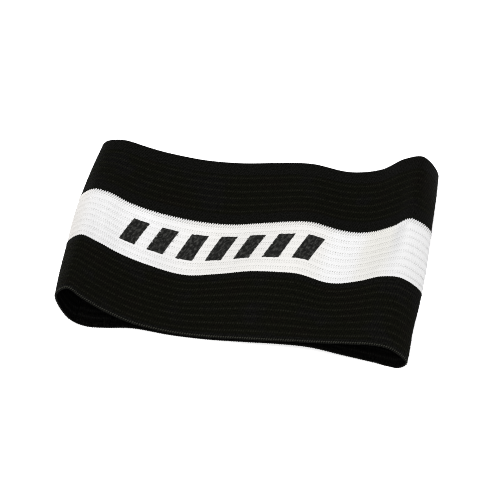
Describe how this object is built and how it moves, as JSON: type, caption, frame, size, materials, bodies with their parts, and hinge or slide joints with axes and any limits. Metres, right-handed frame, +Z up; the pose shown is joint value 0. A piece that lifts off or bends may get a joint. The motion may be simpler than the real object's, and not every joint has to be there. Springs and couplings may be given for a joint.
{
  "type": "captain armband",
  "caption": "Wide striped elastic armband: one relaxed loop of ribbed webbing lying flat-ways, open at both ends for an arm.",
  "frame": {"origin": "on the table, under the middle of the lying loop", "axes": "+X along the flattened loop, from its left turn to its right one; +Y across the elastic, from the near selvedge to the far one; +Z up"},
  "size_m": [0.1228, 0.076, 0.0212],
  "materials": {
    "black_elastic": "matt ribbed elastic webbing, black",
    "white_elastic": "matt ribbed elastic webbing, white"
  },
  "bodies": {
    "root": {"near_black_stripe": "black_elastic", "white_stripe": "white_elastic", "far_black_stripe": "black_elastic"}
  },
  "joints": []
}
